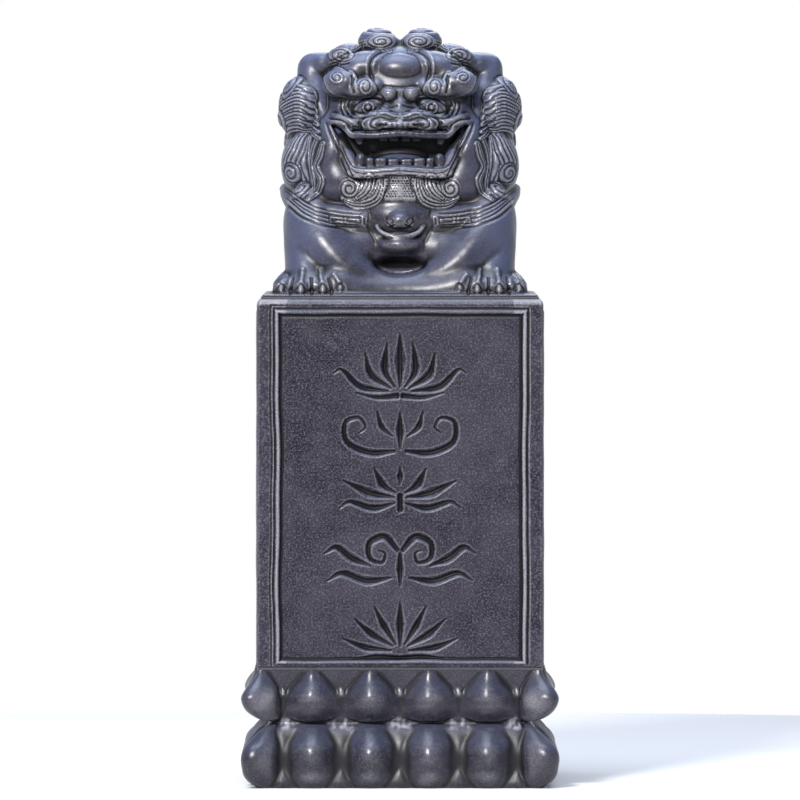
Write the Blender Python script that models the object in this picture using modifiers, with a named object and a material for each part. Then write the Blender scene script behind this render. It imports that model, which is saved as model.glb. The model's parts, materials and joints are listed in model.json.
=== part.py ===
"""Guardian lion on a panelled pillar: three carved stones, stacked and dowelled.

A lotus base with two tiers of beads carries a square pillar with sunk panels, and a crouching lion
sits on the pillar. Each bed joint holds a mortar bed, four plastic shims and two steel dowels set in
resin. Metres, +Z up, the lion faces -Y, and the origin is at the middle of the underside.
"""

import math

import bmesh
import bpy
from mathutils import Euler, Matrix, Vector

# Driving dimensions of the stones
BASE_TOP_HALF = 0.191
BASE_HEIGHT = 0.1560
PILLAR_HALF = 0.189
PILLAR_TOP = 0.6455

# Bed joints
SLIP = 0.0003
SHIM_THICK = 0.0030
JOINT = SHIM_THICK + 2 * SLIP
SHIM_SIDE = 0.026
SHIM_INSET = 0.022
BED_INSET = 0.002

# Dowels, each a stainless bar set in a resin sleeve
DOWEL_RADIUS = 0.008
DOWEL_LENGTH = 0.110
DOWEL_SPACING = 0.140
RESIN_WALL = 0.0022
HOLE_RADIUS = DOWEL_RADIUS + SLIP + RESIN_WALL + SLIP
END_PLAY = 0.002
ROUND_SEGMENTS = 24

# Lotus base
BEADS_PER_SIDE = 5
POINTS_PER_BEAD = 8
WAIST_HALF = 0.172
FOOT_HALF = 0.193
WAIST_Z = 0.087
WAIST_GAP = 0.004
BEAD_DEPTH = 0.024

# Pillar panels
PANEL_DEPTH = 0.005
PANEL_SIDE_BORDER = 0.023
PANEL_TOP_BORDER = 0.018
PANEL_FOOT_BORDER = 0.008

# Lion block-out
REMESH_VOXEL = 0.0045
LION_SKIN_AREA = 0.66
LION_TRIANGLES = 6600
MOUTH_WIDTH = 0.118
MOUTH_FOOT_WIDTH = 0.092
MOUTH_LOW = 0.176
MOUTH_HIGH = 0.214
MOUTH_FRONT = -0.175
MOUTH_BACK = -0.104

PILLAR_FOOT = BASE_HEIGHT + JOINT
LION_FOOT = PILLAR_TOP + JOINT

STONE = (0.095, 0.094, 0.118, 1.0)
STEEL = (0.55, 0.56, 0.58, 1.0)
SHIM_PLASTIC = (0.05, 0.05, 0.05, 1.0)
MORTAR = (0.085, 0.084, 0.10, 1.0)
RESIN = (0.42, 0.36, 0.24, 1.0)


def clear_scene():
    for old in list(bpy.data.objects):
        bpy.data.objects.remove(old)


def new_collection(name):
    made = bpy.data.collections.new(name)
    bpy.context.scene.collection.children.link(made)
    return made


def make_material(name, colour, roughness, metallic=0.0):
    made = bpy.data.materials.new(name)
    made.use_nodes = True
    shader = made.node_tree.nodes["Principled BSDF"]
    shader.inputs["Base Color"].default_value = colour
    shader.inputs["Roughness"].default_value = roughness
    shader.inputs["Metallic"].default_value = metallic
    return made


def add_object(name, bm, collection, material=None, smooth=False):
    mesh = bpy.data.meshes.new(name)
    bm.to_mesh(mesh)
    bm.free()
    if smooth:
        mesh.shade_smooth()
        mesh.set_sharp_from_angle(angle=math.radians(40))
    made = bpy.data.objects.new(name, mesh)
    collection.objects.link(made)
    if material:
        mesh.materials.append(material)
    return made


def box(name, collection, size, centre, material=None):
    bm = bmesh.new()
    bmesh.ops.create_cube(bm, size=1.0, matrix=Matrix.Diagonal((*size, 1.0)))
    made = add_object(name, bm, collection, material)
    made.location = centre
    return made


def rod(name, collection, radius, low, high, place, material=None):
    """An upright round bar from height low to height high, standing at place (x, y)."""
    bm = bmesh.new()
    bmesh.ops.create_cone(
        bm,
        cap_ends=True,
        segments=ROUND_SEGMENTS,
        radius1=radius,
        radius2=radius,
        depth=high - low,
    )
    made = add_object(name, bm, collection, material, smooth=True)
    made.location = (*place, (low + high) / 2)
    return made


def as_cutter(obj):
    obj.hide_render = True
    obj.display_type = "WIRE"
    return obj


def cut(target, cutter):
    made = target.modifiers.new("cut_" + cutter.name, "BOOLEAN")
    made.operation = "DIFFERENCE"
    made.object = as_cutter(cutter)


def bead_wave(share):
    """How far a bead stands out, from 0 in the groove between two beads to 1 on its crown."""
    off_crown = 2 * abs(share - round(share))
    return math.sqrt(max(0.0, 1 - off_crown**2)) ** 1.2


def base_profile():
    """(height, core half width, bead depth) from the foot of the base to its top."""
    rows = [(0.0, FOOT_HALF - 0.014, 0.010)]
    rows += tier_rows(0.0, WAIST_Z - WAIST_GAP, FOOT_HALF - 0.014, WAIST_HALF, 0.010, 6)
    rows.append((WAIST_Z - WAIST_GAP, WAIST_HALF, 0.004))
    rows.append((WAIST_Z + WAIST_GAP, WAIST_HALF, 0.004))
    rows += tier_rows(WAIST_Z + WAIST_GAP, BASE_HEIGHT, WAIST_HALF, BASE_TOP_HALF - 0.003, 0.003, 5)
    rows.append((BASE_HEIGHT, BASE_TOP_HALF, 0.0))
    return rows


def tier_rows(low, high, core_low, core_high, depth_low, count):
    """The rows inside one tier of beads, which swell to their full depth about half way up it."""
    rows = []
    for step in range(1, count + 1):
        share = step / (count + 1)
        swell = math.sin(math.pi * share**0.9)
        core = core_low + (core_high - core_low) * share
        rows.append((low + share * (high - low), core, depth_low + (BEAD_DEPTH - 0.002) * swell))
    return rows


def square_ring(core, depth, z):
    """Points round a square with rounded corners, pushed outwards where a bead stands."""
    points = []
    beads = 4 * BEADS_PER_SIDE
    corner = 0.030
    flat = core - corner
    for step in range(beads * POINTS_PER_BEAD):
        along = step / POINTS_PER_BEAD
        side, share = divmod(along, BEADS_PER_SIDE)
        # Each side runs from one corner's middle to the next, so a whole number is a bead's crown.
        run = (share / BEADS_PER_SIDE) * 2 - 1
        arc_share = math.pi / 4 * corner / (flat + math.pi / 4 * corner)
        if abs(run) <= 1 - arc_share:
            x, y = run / (1 - arc_share) * flat, -core
            nx, ny = 0.0, -1.0
        else:
            turn = (abs(run) - (1 - arc_share)) / arc_share * math.pi / 4
            nx, ny = math.copysign(math.sin(turn), run), -math.cos(turn)
            x, y = math.copysign(flat, run) + corner * nx, -flat + corner * ny
        out = depth * bead_wave(along)
        point = Vector((x + out * nx, y + out * ny, z))
        points.append(Matrix.Rotation(math.pi / 2 * side, 3, "Z") @ point)
    return points


def loft(rings):
    """A closed skin through rings of equal point counts, capped at both ends."""
    bm = bmesh.new()
    rows = [[bm.verts.new(point) for point in ring] for ring in rings]
    for low, high in zip(rows, rows[1:]):
        for i in range(len(low)):
            j = (i + 1) % len(low)
            bm.faces.new((low[i], low[j], high[j], high[i]))
    bm.faces.new(list(reversed(rows[0])))
    bm.faces.new(rows[-1])
    return bm


def make_base(collection, material):
    bm = loft([square_ring(core, depth, z) for z, core, depth in base_profile()])
    return add_object("lotus_base", bm, collection, material, smooth=True)


def make_pillar(collection, cutters, material):
    height = PILLAR_TOP - PILLAR_FOOT
    middle = PILLAR_FOOT + height / 2
    pillar = box("pillar_shaft", collection, (2 * PILLAR_HALF, 2 * PILLAR_HALF, height), (0, 0, middle), material)
    bevel = pillar.modifiers.new("worn_arrises", "BEVEL")
    bevel.width = 0.004
    bevel.segments = 2
    panel_low = PILLAR_FOOT + PANEL_FOOT_BORDER
    panel_high = PILLAR_TOP - PANEL_TOP_BORDER
    width = 2 * (PILLAR_HALF - PANEL_SIDE_BORDER)
    for side in range(4):
        cutter = box(
            f"panel_cutter_{side}",
            cutters,
            (width, 2 * PANEL_DEPTH, panel_high - panel_low),
            Matrix.Rotation(math.pi / 2 * side, 3, "Z")
            @ Vector((0, -PILLAR_HALF, (panel_low + panel_high) / 2)),
        )
        cutter.rotation_euler.z = math.pi / 2 * side
        cut(pillar, cutter)
    return pillar


# The lion's masses in millimetres from the pillar's top: (x, y, z), (radius x, y, z), tilt about Y and X.
# Each one off the middle plane stands on both sides.
LION_MASSES = {
    "belly": ((0, 30, 82), (112, 130, 78), 0, 0),
    "under_belly": ((0, 18, 30), (98, 120, 40), 0, 0),
    "rump": ((0, 104, 88), (112, 66, 80), 0, 0),
    "haunch": ((112, 88, 66), (40, 70, 62), 0, 0),
    "hind_paw": ((132, 22, 20), (28, 50, 20), 0, 0),
    "chest": ((0, -80, 88), (112, 58, 66), 0, 0),
    "shoulder": ((110, -64, 104), (41, 62, 60), 0, 0),
    "foreleg": ((114, -106, 58), (33, 36, 56), 2, -8),
    "front_paw": ((118, -136, 19), (49, 38, 23), 0, 0),
    "outer_toe": ((152, -148, 14), (15, 24, 15), 0, 0),
    "third_toe": ((132, -160, 14), (14, 20, 15), 0, 0),
    "second_toe": ((108, -160, 14), (14, 20, 15), 0, 0),
    "inner_toe": ((86, -152, 14), (14, 22, 15), 0, 0),
    "mound_lobe": ((46, -118, 16), (62, 48, 24), 0, 0),
    "mane_ruff": ((0, -8, 196), (146, 112, 118), 0, 0),
    "mane_upper": ((118, -30, 252), (38, 60, 42), 0, 0),
    "mane_lower": ((116, -52, 172), (42, 56, 50), 0, 0),
    "nape": ((0, 56, 214), (106, 72, 98), 0, 0),
    "cranium": ((0, -40, 262), (108, 92, 80), 0, 0),
    "face": ((0, -84, 244), (98, 60, 58), 0, 0),
    "ear": ((118, -46, 300), (19, 22, 32), 14, 0),
    "brow": ((66, -128, 286), (35, 26, 20), 10, 0),
    "forehead_boss": ((0, -116, 300), (36, 34, 27), 0, 0),
    "nose": ((0, -146, 238), (46, 16, 14), 0, 0),
    "upper_lip": ((44, -122, 224), (46, 34, 16), 0, 0),
    "jaw": ((0, -112, 172), (74, 44, 24), 0, 0),
    "jaw_side": ((74, -100, 205), (20, 42, 40), -30, 0),
    "crown_curl": ((25, -72, 336), (25, 28, 20), 0, 0),
    "temple_curl": ((68, -76, 320), (24, 26, 18), 18, 0),
    "back_curl": ((62, 92, 262), (34, 28, 34), 0, 0),
    "nape_curl": ((60, 112, 190), (34, 26, 34), 0, 0),
    "beard_curl": ((58, -128, 146), (28, 20, 20), 0, 0),
    "beard": ((0, -124, 142), (34, 24, 30), 0, 0),
    "collar_bell": ((0, -136, 92), (42, 26, 36), 0, 0),
    "tail_root": ((0, 152, 96), (22, 22, 44), 0, 0),
    "tail_plume": ((0, 150, 150), (36, 20, 40), 0, 0),
    "tail_lobe": ((34, 148, 128), (22, 18, 30), 20, 0),
}
MASS_SEGMENTS, MASS_RINGS = 32, 18
PLINTH_HALF = 0.185
PLINTH_TOP = 0.0100


def add_mass(bm, centre, radii, tilt_y, tilt_x):
    """A stretched sphere, and its mirror image where it's off the middle plane."""
    sides = (1,) if centre[0] == 0 else (1, -1)
    for side in sides:
        place = Matrix.Translation(Vector((side * centre[0], centre[1], centre[2])) / 1000)
        turn = Euler((math.radians(tilt_x), math.radians(side * tilt_y), 0)).to_matrix().to_4x4()
        stretch = Matrix.Diagonal((*(Vector(radii) / 1000), 1.0))
        bmesh.ops.create_uvsphere(
            bm,
            u_segments=MASS_SEGMENTS,
            v_segments=MASS_RINGS,
            radius=1.0,
            matrix=Matrix.Translation((0, 0, PILLAR_TOP)) @ place @ turn @ stretch,
        )


def make_lion(collection, cutters, material):
    bm = bmesh.new()
    for centre, radii, tilt_y, tilt_x in LION_MASSES.values():
        add_mass(bm, centre, radii, tilt_y, tilt_x)
    plinth = bmesh.ops.create_cone(
        bm,
        cap_ends=True,
        segments=4,
        radius1=PLINTH_HALF * math.sqrt(2),
        radius2=(PLINTH_HALF - 0.008) * math.sqrt(2),
        depth=PLINTH_TOP + 0.010,
        matrix=Matrix.Translation((0, 0, PILLAR_TOP + (PLINTH_TOP - 0.010) / 2)) @ Matrix.Rotation(math.pi / 4, 4, "Z"),
    )
    bmesh.ops.recalc_face_normals(bm, faces=list({f for v in plinth["verts"] for f in v.link_faces}))
    lion = add_object("lion_figure", bm, collection, material)

    skin = lion.modifiers.new("one_skin", "REMESH")
    skin.mode = "VOXEL"
    skin.voxel_size = REMESH_VOXEL
    soften = lion.modifiers.new("soften", "SMOOTH")
    soften.factor = 0.5
    soften.iterations = 3
    thin = lion.modifiers.new("thin_out", "DECIMATE")
    # A voxel skin has about three triangles for each voxel's face area.
    thin.ratio = LION_TRIANGLES / (3 * LION_SKIN_AREA / REMESH_VOXEL**2)

    under = box("lion_foot_cutter", cutters, (0.6, 0.6, 0.1), (0, 0, LION_FOOT - 0.05))
    cut(lion, under)
    cut(lion, make_mouth_cutter(cutters))
    return lion


def make_mouth_cutter(cutters):
    """A block narrower at its foot, as the open jaw is."""
    middle = PILLAR_TOP + (MOUTH_LOW + MOUTH_HIGH) / 2
    mouth = box(
        "mouth_cutter",
        cutters,
        (MOUTH_WIDTH, MOUTH_BACK - MOUTH_FRONT, MOUTH_HIGH - MOUTH_LOW),
        (0, (MOUTH_FRONT + MOUTH_BACK) / 2, middle),
    )
    for vertex in mouth.data.vertices:
        if vertex.co.z < 0:
            vertex.co.x *= MOUTH_FOOT_WIDTH / MOUTH_WIDTH
    return mouth


def dowel_places():
    return {"left": (-DOWEL_SPACING / 2, 0.0), "right": (DOWEL_SPACING / 2, 0.0)}


def make_dowels(joint, middle, below, above, collection, cutters, steel, resin):
    """Two dowels across one bed joint, each in its resin sleeve, and their holes in both stones."""
    for side, place in dowel_places().items():
        low, high = middle - DOWEL_LENGTH / 2, middle + DOWEL_LENGTH / 2
        rod(f"{joint}_dowel_{side}", collection, DOWEL_RADIUS, low, high, place, steel)
        sleeve = rod(f"{joint}_resin_{side}", collection, HOLE_RADIUS - SLIP, low, high, place, resin)
        core = rod(f"{joint}_resin_core_{side}", cutters, DOWEL_RADIUS + SLIP, low - 0.01, high + 0.01, place)
        cut(sleeve, core)
        hole = rod(f"{joint}_hole_{side}", cutters, HOLE_RADIUS, low - END_PLAY, high + END_PLAY, place)
        cut(below, hole)
        cut(above, hole)


def make_bed(joint, foot, half, collection, cutters, mortar, plastic):
    """The mortar bed and the four shims that set its thickness."""
    middle = foot + JOINT / 2
    side = 2 * (half - BED_INSET)
    bed = box(f"{joint}_mortar_bed", collection, (side, side, SHIM_THICK), (0, 0, middle), mortar)
    offset = half - SHIM_INSET - SHIM_SIDE / 2
    corners = {
        "front_left": (-offset, -offset),
        "front_right": (offset, -offset),
        "back_left": (-offset, offset),
        "back_right": (offset, offset),
    }
    for corner, (x, y) in corners.items():
        size = (SHIM_SIDE, SHIM_SIDE, SHIM_THICK)
        box(f"{joint}_shim_{corner}", collection, size, (x, y, middle), plastic)
        gap = (SHIM_SIDE + 2 * SLIP, SHIM_SIDE + 2 * SLIP, 2 * SHIM_THICK)
        cut(bed, box(f"{joint}_shim_gap_{corner}", cutters, gap, (x, y, middle)))
    for side_name, place in dowel_places().items():
        low, high = middle - 0.01, middle + 0.01
        cut(bed, rod(f"{joint}_bed_hole_{side_name}", cutters, HOLE_RADIUS, low, high, place))


def main():
    clear_scene()
    parts = new_collection("guardian_lion_pillar")
    cutters = new_collection("cutters")
    cutters.hide_render = True
    stone = make_material("stone", STONE, 0.5)
    steel = make_material("steel", STEEL, 0.35, 1.0)
    plastic = make_material("shim_plastic", SHIM_PLASTIC, 0.6)
    mortar = make_material("mortar", MORTAR, 0.9)
    resin = make_material("resin", RESIN, 0.4)

    base = make_base(parts, stone)
    pillar = make_pillar(parts, cutters, stone)
    lion = make_lion(parts, cutters, stone)

    lower_middle = BASE_HEIGHT + JOINT / 2
    upper_middle = PILLAR_TOP + JOINT / 2
    make_dowels("lower", lower_middle, base, pillar, parts, cutters, steel, resin)
    make_dowels("upper", upper_middle, pillar, lion, parts, cutters, steel, resin)
    make_bed("lower", BASE_HEIGHT, PILLAR_HALF, parts, cutters, mortar, plastic)
    make_bed("upper", PILLAR_TOP, PLINTH_HALF, parts, cutters, mortar, plastic)


main()
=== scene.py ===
"""Looks for the guardian lion on its panelled pillar and lotus base.

The three stones are carved here as fine meshes that stand for the plain solids of the frame. Sizes in
the carving functions are millimetres, with the lion's heights taken from the pillar's top.
"""

import json
import math

import bpy
import numpy as np
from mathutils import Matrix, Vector


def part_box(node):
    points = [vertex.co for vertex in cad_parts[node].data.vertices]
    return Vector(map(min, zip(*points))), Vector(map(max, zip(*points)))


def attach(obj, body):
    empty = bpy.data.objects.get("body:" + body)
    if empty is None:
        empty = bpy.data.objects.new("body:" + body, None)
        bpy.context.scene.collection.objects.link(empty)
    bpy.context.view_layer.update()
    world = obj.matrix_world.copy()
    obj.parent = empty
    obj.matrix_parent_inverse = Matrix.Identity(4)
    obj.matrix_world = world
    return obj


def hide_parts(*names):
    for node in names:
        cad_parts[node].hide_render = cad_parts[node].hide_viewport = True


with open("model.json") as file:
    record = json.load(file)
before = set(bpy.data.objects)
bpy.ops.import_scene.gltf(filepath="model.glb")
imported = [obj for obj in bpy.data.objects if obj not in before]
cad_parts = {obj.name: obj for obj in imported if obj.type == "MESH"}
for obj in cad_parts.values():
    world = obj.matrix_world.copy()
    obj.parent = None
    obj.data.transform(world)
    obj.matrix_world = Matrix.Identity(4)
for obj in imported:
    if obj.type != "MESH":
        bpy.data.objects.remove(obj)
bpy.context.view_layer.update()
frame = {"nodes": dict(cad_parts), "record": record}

PILLAR_TOP = 1000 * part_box("pillar_shaft")[1][2]
PILLAR_FOOT = 1000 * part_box("pillar_shaft")[0][2]
PILLAR_HALF = 1000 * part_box("pillar_shaft")[1][0]
BASE_TOP = 1000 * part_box("lotus_base")[1][2]
LION_FOOT = 1000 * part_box("lion_figure")[0][2] - PILLAR_TOP

PILLAR_CORNER = 4.5  # radius of its upright corners
PILLAR_ROUND = 7.5  # radius of its top edges
BASE_CORNER = 26.0  # radius of the base's core at its corners
BEAD_PITCH = 77.4  # each side has four whole beads, and one on each corner
WAIST = 87  # height where the two tiers of beads meet

FLOOR_RADIUS = 1.9  # metres

# Distances between points of the carved skins
LION_STEP = 1.45
PILLAR_STEP = 1.45
BASE_STEP = 1.9


# ---------------------------------------------------------------- small maths


def ramp(value, start, end):
    """0 before start, 1 after end, and a smooth rise between them."""
    share = np.clip((value - start) / (end - start), 0.0, 1.0)
    return share * share * (3.0 - 2.0 * share)


def smooth_rise(value, places, heights):
    """A smooth curve through (place, height) pairs."""
    places, heights = np.array(places, float), np.array(heights, float)
    value = np.clip(value, places[0], places[-1])
    slopes = np.gradient(heights, places)
    spot = np.clip(np.searchsorted(places, value, side="right") - 1, 0, len(places) - 2)
    width = places[spot + 1] - places[spot]
    t = (value - places[spot]) / width
    return (
        (1 + 2 * t) * (1 - t) ** 2 * heights[spot]
        + t * (1 - t) ** 2 * width * slopes[spot]
        + t * t * (3 - 2 * t) * heights[spot + 1]
        + t * t * (t - 1) * width * slopes[spot + 1]
    )


def turned(pitch, tilt, yaw):
    """Rotation matrix for degrees about X, then Y, then Z."""
    a, b, c = (math.radians(angle) for angle in (pitch, tilt, yaw))
    about_x = np.array([[1, 0, 0], [0, math.cos(a), -math.sin(a)], [0, math.sin(a), math.cos(a)]])
    about_y = np.array([[math.cos(b), 0, math.sin(b)], [0, 1, 0], [-math.sin(b), 0, math.cos(b)]])
    about_z = np.array([[math.cos(c), -math.sin(c), 0], [math.sin(c), math.cos(c), 0], [0, 0, 1]])
    return about_z @ about_y @ about_x


def ripple(points, pitch, seed):
    """Smooth irregular waves of about that pitch, between -1 and 1, for hand-worked unevenness."""
    rng = np.random.default_rng(seed)
    total = np.zeros(len(points))
    for _ in range(7):
        direction = rng.normal(size=3)
        direction *= 2 * math.pi / (pitch * rng.uniform(0.7, 1.5) * np.linalg.norm(direction))
        total += np.sin(points @ direction + rng.uniform(0, 2 * math.pi))
    return total / 4.0


def smooth_line(corners, count=36):
    """A Catmull-Rom curve through the corners, as evenly numbered points."""
    corners = np.asarray(corners, float)
    padded = np.vstack([2 * corners[0] - corners[1], corners, 2 * corners[-1] - corners[-2]])
    spans = len(corners) - 1
    share = np.linspace(0, spans, count)
    index = np.minimum(share.astype(int), spans - 1)
    t = (share - index)[:, None]
    a, b, c, d = (padded[index + k] for k in range(4))
    return 0.5 * (2 * b + (c - a) * t + (2 * a - 5 * b + 4 * c - d) * t**2 + (3 * b - a - 3 * c + d) * t**3)


def follow(u, w, line):
    """Signed distance from each (u, w) to the line, positive on its left, and the share along it."""
    best = np.full(len(u), 1e9)
    side = np.ones(len(u))
    share = np.zeros(len(u))
    steps = np.hypot(*np.diff(line, axis=0).T)
    reach = np.concatenate([[0], np.cumsum(steps)])
    for i, length in enumerate(steps):
        if length < 1e-9:
            continue
        du, dw = (line[i + 1] - line[i]) / length
        pu, pw = u - line[i][0], w - line[i][1]
        along = np.clip(pu * du + pw * dw, 0, length)
        cross = du * pw - dw * pu
        gap = (pu - along * du) ** 2 + (pw - along * dw) ** 2
        closer = gap < best
        best = np.where(closer, gap, best)
        side = np.where(closer, np.where(cross < 0, -1.0, 1.0), side)
        share = np.where(closer, (reach[i] + along) / reach[-1], share)
    return np.sqrt(best) * side, share


def within(u, w, outline):
    """Which (u, w) lie inside a closed outline."""
    inside = np.zeros(u.shape, bool)
    for (ua, wa), (ub, wb) in zip(outline, np.roll(outline, -1, axis=0)):
        crosses = (wa > w) != (wb > w)
        inside ^= crosses & (u < (ub - ua) * (w - wa) / (wb - wa if wb != wa else 1e-9) + ua)
    return inside


def spun(x, y, side):
    """x and y turned about the upright axis by a quarter turn for each side."""
    angle = math.pi / 2 * side
    return x * np.cos(angle) - y * np.sin(angle), x * np.sin(angle) + y * np.cos(angle)


# ---------------------------------------------------------------- solid carving


class Block:
    """A signed distance field over the half of a symmetric carving where x is positive."""

    def __init__(self, low, high, step):
        self.step = step
        counts = [int(math.ceil((b - a) / step)) + 1 for a, b in zip(low, high)]
        starts = (step / 2, low[1], low[2])
        self.axes = [a + step * np.arange(n, dtype=np.float32) for a, n in zip(starts, counts)]
        self.field = np.full(counts, 40.0, np.float32)

    def window(self, low, high):
        """The part of the field between two corners, as slices, with its coordinates."""
        cut = []
        for axis, a, b in zip(self.axes, low, high):
            start = int(np.searchsorted(axis, a))
            cut.append(slice(start, max(start + 1, int(np.searchsorted(axis, b)))))
        coords = np.ix_(*[axis[part] for axis, part in zip(self.axes, cut)])
        return tuple(cut), coords

    def join(self, cut, distance, soft, carve=False):
        """Adds a shape to the field, or carves it away, with a fillet of about soft."""
        old = self.field[cut]
        if carve:
            distance = -distance
        overlap = np.maximum(soft - np.abs(old - distance), 0) / max(soft, 1e-6)
        change = overlap * overlap * soft / 4
        new = np.maximum(old, distance) + change if carve else np.minimum(old, distance) - change
        self.field[cut] = new

    def ball(self, centre, radii, turn=(0, 0, 0), soft=8.0, carve=False):
        """A stretched sphere, and its mirror image where it reaches the middle plane."""
        reach = max(radii) + soft + 3
        for flip in (1, -1):
            place = (flip * centre[0], centre[1], centre[2])
            if flip == -1 and (centre[0] == 0 or place[0] + reach < 0):
                continue
            cut, (x, y, z) = self.window([c - reach for c in place], [c + reach for c in place])
            spin = turned(turn[0], flip * turn[1], flip * turn[2])
            dx, dy, dz = x - place[0], y - place[1], z - place[2]
            p = [dx * spin[0, i] + dy * spin[1, i] + dz * spin[2, i] for i in range(3)]
            near = sum((p[i] / radii[i]) ** 2 for i in range(3))
            steep = sum((p[i] / radii[i] ** 2) ** 2 for i in range(3))
            near = np.sqrt(near)
            distance = near * (near - 1) / np.sqrt(np.maximum(steep, 1e-9))
            distance = np.where(near < 0.05, -min(radii), distance)
            self.join(cut, distance.astype(np.float32), soft, carve)

    def limb(self, corners, radii, soft=8.0, squash=1.0, carve=False, count=14):
        """A round bar through the corners, with a radius at each, flattened front to back by squash."""
        if corners[0][0] == 0:
            x, y, z = corners[1]
            corners = [(-x, y, z)] + list(corners)
            radii = [radii[0]] + list(radii)
        line = smooth_line(corners, count)
        thick = np.interp(np.linspace(0, 1, count), np.linspace(0, 1, len(radii)), radii)
        for a, b, ra, rb in zip(line, line[1:], thick, thick[1:]):
            reach = max(ra, rb) + soft + 3
            cut, (x, y, z) = self.window(np.minimum(a, b) - reach, np.maximum(a, b) + reach)
            d = b - a
            along = ((x - a[0]) * d[0] + (y - a[1]) * d[1] + (z - a[2]) * d[2]) / max(float(d @ d), 1e-9)
            along = np.clip(along, 0, 1)
            px, py, pz = x - a[0] - along * d[0], (y - a[1] - along * d[1]) / squash, z - a[2] - along * d[2]
            distance = np.sqrt(px * px + py * py + pz * pz) - (ra + (rb - ra) * along)
            self.join(cut, distance.astype(np.float32), min(soft, max(ra, rb)), carve)

    def slab(self, low, high, rounding, soft=3.0, carve=False):
        """A box with rounded edges."""
        reach = soft + 3
        cut, coords = self.window([a - reach for a in low], [b + reach for b in high])
        outside, inside = 0.0, -1e3
        for axis, a, b in zip(coords, low, high):
            gap = np.abs(axis - (a + b) / 2) - (b - a) / 2 + rounding
            outside = outside + np.maximum(gap, 0) ** 2
            inside = np.maximum(inside, gap)
        self.join(cut, (np.sqrt(outside) + np.minimum(inside, 0) - rounding).astype(np.float32), soft, carve)

    def prism(self, outline, front, back, soft=2.0, carve=False):
        """An outline in (x, z), run from front to back along y."""
        outline = np.asarray(outline, float)
        low, high = outline.min(axis=0), outline.max(axis=0)
        reach = soft + 4
        near, far = (low[0], front, low[1]), (high[0], back, high[1])
        cut, (x, y, z) = self.window([a - reach for a in near], [b + reach for b in far])
        flat_x, flat_z = np.broadcast_arrays(x[:, 0, :], z[0, :, :])
        gap = np.full(flat_x.shape, 1e9)
        for (ax, az), (bx, bz) in zip(outline, np.roll(outline, -1, axis=0)):
            ex, ez = bx - ax, bz - az
            along = np.clip(((flat_x - ax) * ex + (flat_z - az) * ez) / (ex * ex + ez * ez), 0, 1)
            gap = np.minimum(gap, (flat_x - ax - along * ex) ** 2 + (flat_z - az - along * ez) ** 2)
        flat = np.where(within(flat_x, flat_z, outline), -np.sqrt(gap), np.sqrt(gap))[:, None, :]
        depth = np.maximum(front - y, y - back)
        self.join(cut, np.maximum(flat, depth).astype(np.float32), soft, carve)

    def skin(self):
        """Points and four-sided faces on the field's zero surface, both halves."""
        field = np.concatenate([self.field[::-1], self.field])
        low = np.array([-self.axes[0][-1], self.axes[1][0], self.axes[2][0]], float)
        inside = field < 0
        counts = np.zeros([n - 1 for n in field.shape], np.uint8)
        for i, j, k in np.ndindex(2, 2, 2):
            counts += inside[i:, j:, k:][: counts.shape[0], : counts.shape[1], : counts.shape[2]]
        cells = np.argwhere((counts > 0) & (counts < 8))
        index = np.full(counts.shape, -1, np.int32)
        index[tuple(cells.T)] = np.arange(len(cells))
        total = np.zeros((len(cells), 3))
        hits = np.zeros(len(cells))
        for axis in range(3):
            u, v = (axis + 1) % 3, (axis + 2) % 3
            for du, dv in np.ndindex(2, 2):
                first = cells.copy()
                first[:, u] += du
                first[:, v] += dv
                second = first.copy()
                second[:, axis] += 1
                fa, fb = field[tuple(first.T)], field[tuple(second.T)]
                crossing = (fa < 0) != (fb < 0)
                share = np.where(crossing, fa / np.where(crossing, fa - fb, 1), 0)
                spot = np.zeros((len(cells), 3))
                spot[:, axis], spot[:, u], spot[:, v] = share, du, dv
                total += spot * crossing[:, None]
                hits += crossing
        points = low + self.step * (cells + total / hits[:, None])
        faces = []
        for axis in range(3):
            u, v = (axis + 1) % 3, (axis + 2) % 3
            ahead = [slice(None)] * 3
            behind = [slice(None)] * 3
            ahead[axis], behind[axis] = slice(1, None), slice(None, -1)
            edges = np.argwhere(inside[tuple(behind)] != inside[tuple(ahead)])
            edges = edges[(edges[:, u] > 0) & (edges[:, v] > 0)]
            edges = edges[(edges < np.array(counts.shape)).all(axis=1)]
            corners = []
            for du, dv in ((0, 0), (1, 0), (1, 1), (0, 1)):
                spot = edges.copy()
                spot[:, u] -= du
                spot[:, v] -= dv
                corners.append(index[tuple(spot.T)])
            quads = np.stack(corners, axis=1)
            leaving = inside[tuple(edges.T)]
            faces.append(np.where(leaving[:, None], quads, quads[:, ::-1]))
        return points, np.concatenate(faces)


def vertex_normals(points, faces):
    """Outward unit normals, from the faces round each point."""
    corners = points[faces]
    cross = np.cross(corners[:, 2] - corners[:, 0], corners[:, 3] - corners[:, 1])
    normals = np.empty_like(points)
    for axis in range(3):
        normals[:, axis] = np.bincount(faces.ravel(), np.repeat(cross[:, axis], 4), len(points))
    return normals / np.maximum(np.linalg.norm(normals, axis=1), 1e-12)[:, None]


def neighbour_mean(values, faces, count, rounds=1):
    """Values averaged over each point's neighbours, a few times over."""
    flat = values.reshape(count, -1)
    ends = np.concatenate([faces, np.roll(faces, -1, axis=1)]).ravel()
    others = np.concatenate([np.roll(faces, -1, axis=1), faces]).ravel()
    degree = np.maximum(np.bincount(ends, minlength=count), 1)
    for _ in range(rounds):
        columns = [np.bincount(ends, column[others], count) / degree for column in flat.T]
        flat = np.stack(columns, axis=1)
    return flat.reshape(values.shape)


# ---------------------------------------------------------------- relief


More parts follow.
